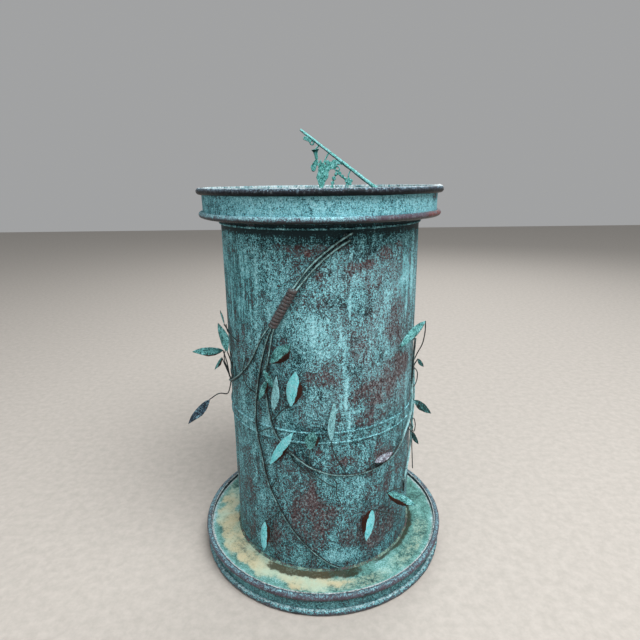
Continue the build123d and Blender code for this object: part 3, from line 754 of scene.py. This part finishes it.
def lap_step(azimuth, radius):
    """How far the laps raise the plate."""
    total = 0.0
    for seam in SEAM_AZIMUTHS:
        across = radians(turn_between(azimuth, seam)) * radius
        total += smoothstep(-0.8 * MM, 0.8 * MM, across) * fade(1 * MM, 14 * MM, across)
    return 0.7 * MM * total


def polar(point):
    """Azimuth in degrees and radius in mm."""
    return azimuth_of(point), hypot(point.x, point.y) / MM


def tan_scale(point):
    """Lime scale: a ring at the left, and paler runs in front and at the right."""
    azimuth, radius = polar(point)
    ragged = 14 * lumps(point, 30, 3, 6.0)
    ring = fade(12, 30, abs(radius - 180 + 0.12 * (azimuth + 60) + ragged))
    front = 0.55 * near(azimuth, 8, 14, 34) * fade(6, 16, abs(radius - 196))
    right = 0.35 * near(azimuth, 60, 14, 30) * fade(8, 16, abs(radius - 190))
    return 1.05 * ring * near(azimuth, -50, 45, 70) + front + right


def olive_stain(point):
    """Where water stands against the column, in front and at the right, and the painted shadow of the head
    and column on the plate.
    """
    azimuth, radius = polar(point)
    ragged = 5 * lumps(point, 22, 3, 7.0)
    from_column = radius - COLUMN_RADIUS / MM
    front = near(azimuth, -6, 22, 34) * fade(14, 22, from_column + ragged)
    side = near(azimuth, 62, 26, 40) * fade(8, 14, from_column + ragged)
    return max(front, 0.9 * side, 0.45 * fade(1.5, 5, from_column + 0.4 * ragged))


def plate_cover(point):
    """A thicker coat along the rim and a thinner one at the right."""
    azimuth, radius = polar(point)
    rim = smoothstep(203, 212, radius)
    return 0.35 * rim + 0.35 * lumps(point, 60, 2, 11.0) - 0.25 * near(azimuth, 85, 25, 60)


def make_base_plate():
    bottom, top, outer = node_box("base_top_plate")
    hole = 140 * MM
    loop = outline([(hole, bottom), (outer, bottom), (outer, top), (hole, top)], [8, 1, 1.6, 1])

    def shape(azimuth, radius, height):
        if height < bottom + 0.2 * MM:
            return 0.0, 0.0
        place = around(azimuth, radius, 0)
        return 0.0, 0.5 * MM * lumps(place, 70, 2, 2.0) + lap_step(azimuth, radius)

    mesh = lathe("base_plate_sheet", loop, shape, 760)
    plate = finish_piece(mesh, "pedestal", "base_sheet", "base_top_plate", "base")
    age(plate, tan=tan_scale, olive=olive_stain, cover=plate_cover,
        lime=lambda point: 0.75 * smoothstep(207, 212.5, polar(point)[1]))


def make_base_sides():
    surface = dented((60, 0.3, 3.0), (9, 0.12, 3.5))
    mesh = sheet_ring("base_skirt_sheet", "base_skirt", [1, 1.6, 0.5, 3], surface, 640)
    skirt = finish_piece(mesh, "pedestal", "base_sheet", "base_skirt", "skirt")
    # darker towards the top: painted shade beneath the upper roll
    age(skirt, cover=lambda point: -0.5 * smoothstep(0.020, 0.026, point.z),
        lime=lambda point: 0.8 * smoothstep(0.0365, 0.0385, point.z))

    wall = node_box("base_skirt")[2]
    lower = bead("base_lower_roll", "base_lower_bead", wall, "pedestal", "foot_bead", 21.0)
    lower_top = node_box("base_lower_bead")[1]
    # painted highlight along the top of the lower roll
    age(lower, lime=lambda point: 0.55 * smoothstep(lower_top - 2.0 * MM, lower_top - 0.6 * MM, point.z))
    upper = bead("base_upper_roll", "base_upper_bead", wall, "pedestal", "bead", 25.0)
    rim = node_box("base_upper_bead")[2]
    age(upper, cover=lambda point: -0.15 * smoothstep(rim - 3 * MM, rim - 0.5 * MM, hypot(point.x, point.y)))


def make_foot_solder():
    """The uneven fillet of solder round the column's foot."""
    bottom, top, outer = node_box("column_foot_solder")
    inside = COLUMN_RADIUS + SEAT
    loop = outline([(inside, bottom - 0.3 * MM), (outer, bottom - 0.3 * MM), (inside, top)], [1, 1, 1])

    def shape(azimuth, radius, height):
        place = around(azimuth, radius, height)
        swell = 0.9 * MM * lumps(place, 10, 3, 13.0)
        share = clamp01((radius - inside) / (outer - inside)) + clamp01((height - bottom) / (top - bottom))
        return swell * clamp01(share), 0.5 * swell * clamp01(share)

    mesh = lathe("foot_solder_bead", loop, shape, 900)
    obj = finish_piece(mesh, "pedestal", "solder", "column_foot_solder", "base")
    age(obj, cover=lambda point: -0.5, brown=lambda point: 0.8, red=lambda point: 0.6, tan=lambda point: 0.3)


# ---------- collar and head ----------

def make_collar():
    """The loose ring under the head, with a rolled lip."""
    bottom, top, outer = node_box("collar_ring")
    inner = COLUMN_RADIUS + 0.4 * MM    # it turns freely on the column
    # How far the lip stands out from the CAD ring, and where, in mm
    lip = [(-0.4, 0), (0.3, 1.2), (-0.2, 2.6), (-0.8, 3.2)]
    corners = [(inner, bottom), *((outer + out * MM, bottom + up * MM) for out, up in lip),
               (outer - 0.8 * MM, top), (inner, top)]
    loop = outline(corners, [1, 0.5, 0.5, 0.5, 1, 1, 2])

    def shape(azimuth, radius, height):
        if radius < inner + MM:
            return 0.0, 0.0
        return 0.18 * MM * lumps(around(azimuth, radius, height), 16, 2, 31.0), 0.0

    mesh = lathe("collar_band", loop, shape, 480)
    obj = finish_piece(mesh, "collar", "head_sheet", "collar_ring", "column")
    # painted shade over the ring above its lip, whose lighter coat is partly a painted highlight
    age(obj, cover=lambda point: 0.05 if point.z < bottom + 2.8 * MM else -1.0, brown=lambda point: -0.6)


def rim_crust(azimuth):
    """How thick the rim's crust is, in mm: worst over a short stretch at the right."""
    return 1.2 * peak(turn_between(azimuth, 84), 11) + 0.35 * peak(turn_between(azimuth, 58), 14)


def make_head_wall():
    bottom, top, outer = node_box("head_wall")
    surface = dented((45, 0.35, 33.0), (8, 0.2, 34.0))
    mesh = sheet_ring("head_drum_sheet", "head_wall", [1, 1.5, 0.5, 3], surface, 620)
    wall = finish_piece(mesh, "head", "head_sheet", "head_wall", "head")

    def red(point):
        return 1.1 * near(azimuth_of(point), 66, 3, 7) * smoothstep(bottom + 16 * MM, top - 14 * MM, point.z)

    def cover(point):
        # darker at the left, and painted shade just under the rim
        left = near(azimuth_of(point), -62, 10, 30)
        under_rim = smoothstep(top - 9 * MM, top - 3 * MM, point.z)
        return -0.32 * left - 0.25 * under_rim - 0.5 * clamp01(red(point))

    # painted highlight: the inner face of the drum is paled
    def lime(point):
        return 0.7 if hypot(point.x, point.y) < outer - SHEET + 0.5 * MM else 0.0

    age(wall, cover=cover, red=red, lime=lime)


def make_head_beads():
    wall = node_box("head_wall")[2]
    lower = bead("head_lower_roll", "head_lower_bead", wall, "head", "bead", 41.0)
    age(lower, red=lambda point: 1.1 * near(azimuth_of(point), 70, 12, 26),
        brown=lambda point: 0.4 * smoothstep(0, 40, azimuth_of(point)),
        cover=lambda point: 0.45 - 0.75 * smoothstep(12, 30, azimuth_of(point)))

    upper = bead("head_upper_roll", "head_upper_bead", wall, "head", "rim", 45.0, rim_crust)
    upper_top = node_box("head_upper_bead")[1]

    def lime(point):
        # painted highlight along the rim's top edge, plus the chalky crust
        top_edge = 0.75 * smoothstep(upper_top - 0.8 * MM, upper_top, point.z)
        return top_edge + 0.5 * clamp01(rim_crust(azimuth_of(point)))

    age(upper, lime=lime)


# ---------- vine, binding, tacks ----------

def rod_cover(point):
    """Thinner patina low down, but a pale run where the vine climbs the right-hand side."""
    side = near(azimuth_of(point), 76, 18, 26) * smoothstep(0.13, 0.16, point.z) * fade(0.31, 0.34, point.z)
    return -0.15 * fade(0.33, 0.42, point.z) + 1.1 * side


def make_vine():
    for node in RODS:
        rod = recast(node, "pedestal", "vine_wire", "wire", 0.65, 2, (9, 0.22, 51.0), (2.5, 0.12, 52.0))
        age(rod, cover=rod_cover)
    for node in ("vine_tendrils_left", "vine_tendrils_right", "leaf_stems"):
        recast(node, "pedestal", "vine_wire", "tendril", 0.42, 1, (6, 0.14, 53.0))
    recast("vine_tacks", "pedestal", "solder", "solder", 0.5, 4, (3, 0.4, 54.0))


def average(points):
    return sum(points, Vector()) / len(points)


def main_axis(offsets, first, rounds):
    """The direction in which the offsets spread most, found from a first guess."""
    axis = first
    for _ in range(rounds):
        spread = Vector()
        for offset in offsets:
            spread += offset * offset.dot(axis)
        axis = spread.normalized()
    return axis


def make_binding():
    """Wire wound round the rods, each turn a little different."""
    turns, steps_a_turn = 12, 30
    points = [vertex.co.copy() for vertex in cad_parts["vine_binding"].data.vertices]
    middle = average(points)
    one = max(points, key=lambda point: (point - middle).length)
    two = max(points, key=lambda point: (point - one).length)
    axis = main_axis([point - middle for point in points], (two - one).normalized(), 20)
    along = [(point - middle).dot(axis) for point in points]
    start, end = min(along), max(along)
    outer = max(((point - middle) - axis * (point - middle).dot(axis)).length for point in points)
    wire = (end - start) / turns / 2
    side = axis.orthogonal().normalized()
    other_side = axis.cross(side)
    coil = []
    for step in range(turns * steps_a_turn + 1):
        t = step / (turns * steps_a_turn)
        angle = 2 * pi * turns * t
        reach = outer - wire + 0.3 * MM * wobble(3 * t * turns, 0.5, 0)
        shift = start + wire + t * (end - start - 2 * wire)
        shift += 0.4 * MM * wobble(2.1 * t * turns, 4.5, 0)
        coil.append(middle + axis * shift + reach * (side * cos(angle) + other_side * sin(angle)))
    core = [middle + axis * (start + 1.5 * MM + step / 12 * (end - start - 3 * MM)) for step in range(13)]
    shape = join(tube(coil, lambda t: wire * 1.03, 10), tube(core, lambda t: outer - 1.6 * wire, 24))
    mesh = mesh_from("vine_binding_coil", *shape)
    roughen(mesh, (3, 0.12, 57.0))
    finish_piece(mesh, "pedestal", "binding_wire", "vine_binding", "binding")


# ---------- leaves ----------

def islands(bm):
    """The separate solids of a bmesh, each as a list of points."""
    seen, groups = set(), []
    for first in bm.verts:
        if first.index in seen:
            continue
        stack, group = [first], []
        seen.add(first.index)
        while stack:
            vertex = stack.pop()
            group.append(vertex.co.copy())
            for edge in vertex.link_edges:
                other = edge.other_vert(vertex)
                if other.index not in seen:
                    seen.add(other.index)
                    stack.append(other)
        groups.append(group)
    return groups


def leaf_frame(points, stem_tree):
    """Base, direction, width axis, facing, length and width of a CAD blade."""
    middle = average(points)
    one = max(points, key=lambda point: (point - middle).length)
    two = max(points, key=lambda point: (point - one).length)
    base, tip = (one, two) if stem_tree.find(one)[2] < stem_tree.find(two)[2] else (two, one)
    along = (tip - base).normalized()
    flat = [(point - base) - along * (point - base).dot(along) for point in points]
    widest = max(flat, key=lambda offset: offset.length)
    centre = average(flat)
    width_axis = main_axis([offset - centre for offset in flat], widest.normalized(), 30)
    facing = along.cross(width_axis)
    rims = [offset.dot(facing) for offset in flat if abs(offset.dot(width_axis)) > 0.6 * widest.length]
    if sum(rims) > 0:
        facing = -facing
        width_axis = -width_axis
    reach = max(abs(offset.dot(width_axis)) for offset in flat)
    return base, along, width_axis, facing, (tip - base).length, 2 * reach


LEAF_ROWS, LEAF_COLUMNS = 46, 26
LEAF_SHEET = 0.9 * MM


def blade_point(u, v, side, length, width, own, low_side, turn_start):
    """How far a blade's point lies across it and out of its plane.

    u runs from 0 at the base to 1 at the tip, v from -1 to 1 between the edges, and side is 1 on top.
    """
    swell = sin(pi * u ** 0.88) ** 0.85 if 0 < u < 1 else 0.0
    edge_side = 1 if v > 0 else -1
    ragged = 1 + 0.07 * wobble(7 * u, 2.2 * edge_side, own)
    ragged += 0.05 * wobble(19 * u, 5.2 * edge_side, own)
    half = max(0.45 * MM, 0.5 * width * swell * ragged)
    y = v * half
    z = -0.55 * y * y / width       # cupped, with a sunken midrib
    z += 0.05 * width * swell * (1 - exp(-abs(v) * 9)) - 0.03 * width * swell
    vein = cos(2 * pi * (7.5 * u - 1.5 * abs(v)))
    z += 0.22 * MM * vein * swell * smoothstep(0.05, 0.3, abs(v)) * fade(0.8, 1.0, abs(v))
    z += 0.03 * width * wobble(3 * u, 1.4 * v, own + 9)
    curl = 0.10 + 0.08 * wobble(own, 1.7, 0)
    z -= curl * length * max(0.0, u - 0.62) ** 2 * 1.6
    bent = max(0.0, low_side * v - turn_start + 0.08) ** 2 * fade(0.5, 0.85, u)
    z -= (0.9 if turn_start > 0.6 else 0.6) * width * swell * bent
    twist = radians(14) * wobble(own, 0.3, 0) * (u - 0.3)
    thick = 0.5 * LEAF_SHEET * (1 - 0.45 * abs(v) ** 6)
    return y * cos(twist) - z * sin(twist), y * sin(twist) + z * cos(twist) + side * thick


def leaf_mesh(name, frames, seed, flipped, turn_start):
    """Thin cupped blades with a folded midrib, side veins, a ragged edge and a curled tip."""
    rows, columns = LEAF_ROWS, LEAF_COLUMNS
    wide = columns + 1
    layer = (rows + 1) * wide
    vertices, faces, kinds = [], [], []
    for number, (base, along, across, facing, length, width) in enumerate(frames):
        own = seed + 3.7 * number
        low_side = 1 if across.dot(Vector((0.6, 0, -0.8))) > 0 else -1
        if flipped:
            low_side = -low_side
        start = len(vertices)
        for side in (1, -1):
            for row in range(rows + 1):
                for column in range(wide):
                    u, v = row / rows, 2 * column / columns - 1
                    y, z = blade_point(u, v, side, length, width, own, low_side, turn_start)
                    vertices.append(base + along * (u * length) + across * y + facing * z)
        for row in range(rows):
            turned = turn_start + 0.1 * wobble(9 * row / rows, own, 0)
            turned += 0.5 * smoothstep(0.5, 0.9, row / rows)
            for column in range(columns):
                a = start + row * wide + column
                faces.append((a, a + 1, a + wide + 1, a + wide))
                edge = low_side * (2 * (column + 0.5) / columns - 1)
                kinds.append(1 if edge > turned else 0)
                b = a + layer
                faces.append((b, b + wide, b + wide + 1, b + 1))
                kinds.append(1)
        border = [(row, 0) for row in range(rows)] + [(rows, column) for column in range(columns)]
        border += [(row, columns) for row in range(rows, 0, -1)]
        border += [(0, column) for column in range(columns, 0, -1)]
        for here, there in zip(border, border[1:] + border[:1]):
            a = start + here[0] * wide + here[1]
            b = start + there[0] * wide + there[1]
            faces.append((a, b, b + layer, a + layer))
            kinds.append(1)
    return mesh_from(name, vertices, faces, kinds)


# Blades whose turned-down edge is the upper one
TURNED_ABOVE = {"leaf_front_left", "leaf_foot_right"}

# How far from the midrib a blade's edge turns down, and the material of its upper face
PLAIN_LEAF = (0.66, "leaf")
LEAF_LOOKS = {
    "leaf_below_binding": (0.35, "leaf_deep"),
    "leaf_centre": (0.66, "leaf_grey"),
    "leaf_edge_on": (0.95, "leaf_pale"),
    "leaf_foot_left": (0.6, "leaf"),
    "leaf_foot_right": (0.5, "leaf"),
    "leaf_front_left": (0.66, "leaf_grey"),
    "leaf_front_right": (0.52, "leaf"),
    "leaf_left_level": (0.85, "leaf_deep"),
    "leaf_left_low": (0.95, "leaf_slate"),
    "leaf_left_upright": (0.9, "leaf_deep"),
    "leaf_right_dark": (0.95, "leaf_dark"),
    "leaf_right_low": (0.45, "leaf_deep"),
    "leaf_right_top": (0.85, "leaf_deep"),
    "leaf_short": (0.66, "leaf_deep"),
    "leaf_tucked_lower": (0.66, "leaf_deep"),
    "leaf_tucked_upper": (0.66, "leaf_deep"),
    "leaves_small_left": (0.66, "leaf_deep"),
    "leaves_small_right": (0.66, "leaf_dark"),
}


def make_leaves():
    stem_tree = tree_of(["leaf_stems"])
    for number, node in enumerate(LEAF_NODES):
        bm = welded(node)
        bm.verts.index_update()
        frames = [leaf_frame(points, stem_tree) for points in islands(bm)]
        bm.free()
        turn_start, upper_face = LEAF_LOOKS.get(node, PLAIN_LEAF)
        mesh = leaf_mesh(node + "_blade", frames, 1.0 + 5.3 * number, node in TURNED_ABOVE, turn_start)
        finish_piece(mesh, "pedestal", "leaf_sheet", node, upper_face, "leaf_under")


# ---------- gnomon ----------

def make_gnomon():
    for part in ("style", "ivy_leaf", "flower", "blossom", "openwork", "twigs"):
        node = "gnomon_" + part
        casting = recast(node, "head", "gnomon_casting", "casting", 0.45, 4, (6, 0.4, 61.0), (2, 0.2, 62.0))
        if part == "style":
            age(casting, cover=lambda point: 0.4)


# ---------- CAD parts that stay ----------

KEPT = {
    "base": ["base_bottom_plate"],
    "column": ["column_top_plate", "column_back_seam"],
    "dial": ["collar_disc", "dial_plate"],
    # the head's bottom plate takes the dark wire patina as painted shade under the head
    "wire": ["head_bottom_plate"],
    "head": ["head_spigot"],
    "marks": ["dial_chapter_rings", "dial_hour_lines", "dial_numerals"],
    "casting": ["gnomon_foot"],
    "screw": ["gnomon_screws"],
}


def paint_kept():
    for material, nodes in KEPT.items():
        for node in nodes:
            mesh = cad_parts[node].data
            mesh.materials.clear()
            mesh.materials.append(MATERIALS[material])


# ---------- floor, lights and camera ----------

def make_floor():
    corners = [(-6, -6, 0), (6, -6, 0), (6, 6, 0), (-6, 6, 0)]
    mesh = mesh_from("floor", corners, [(0, 1, 2, 3)])
    paint = Paint("floor_paint")
    tone = paint.step(paint.noise(60.0, 5.0, 0.7), -0.3, 0.3)
    paint.feed(paint.shader.inputs["Base Color"], paint.mix(tone, srgb(172, 167, 160), srgb(190, 184, 177)))
    paint.shader.inputs["Roughness"].default_value = 0.9
    mesh.materials.append(paint.material)
    floor = add_object("floor", mesh)


def area_light(name, place, target, size, power):
    light = bpy.data.lights.new(name, "AREA")
    light.shape = "DISK"
    light.size = size
    light.energy = power
    obj = add_object(name, light)
    obj.location = place
    obj.rotation_mode = "QUATERNION"
    obj.rotation_quaternion = (Vector(target) - Vector(place)).to_track_quat("-Z", "Y")


def make_lights():
    world = bpy.data.worlds.new("studio")
    world.use_nodes = True
    background = world.node_tree.nodes["Background"]
    background.inputs["Color"].default_value = srgb(220, 221, 222)
    background.inputs["Strength"].default_value = 0.5
    bpy.context.scene.world = world
    area_light("key", (0.9, -1.3, 3.0), (0, 0, 0.35), size=2.2, power=125)
    area_light("fill", (-2.2, -2.2, 1.8), (0, 0, 0.3), size=2.0, power=18)
    area_light("back", (0.8, 2.4, 2.4), (0, 0, 0.35), size=2.2, power=40)


CAMERA_PLACE = (-0.0016, -0.8125, 0.655)
CAMERA_PITCH = radians(16.24)
CAMERA_ROLL = -0.0116
CAMERA_LENS = 27.06


def make_camera():
    data = bpy.data.cameras.new("camera")
    data.sensor_width = 36
    data.lens = CAMERA_LENS
    camera = add_object("camera", data)
    pitch, roll = CAMERA_PITCH, CAMERA_ROLL
    level_up = Vector((0, sin(pitch), cos(pitch)))
    forward = Vector((0, cos(pitch), -sin(pitch)))
    right = cos(roll) * Vector((1, 0, 0)) + sin(roll) * level_up
    up = -sin(roll) * Vector((1, 0, 0)) + cos(roll) * level_up
    turn = Matrix((right, up, -forward)).transposed()
    camera.matrix_world = Matrix.Translation(CAMERA_PLACE) @ turn.to_4x4()
    bpy.context.scene.camera = camera


make_column()
make_band()
make_base_plate()
make_base_sides()
make_foot_solder()
make_collar()
make_head_wall()
make_head_beads()
make_vine()
make_binding()
make_leaves()
make_gnomon()
paint_kept()
make_floor()
make_lights()
make_camera()
bpy.context.scene.view_settings.view_transform = "Standard"
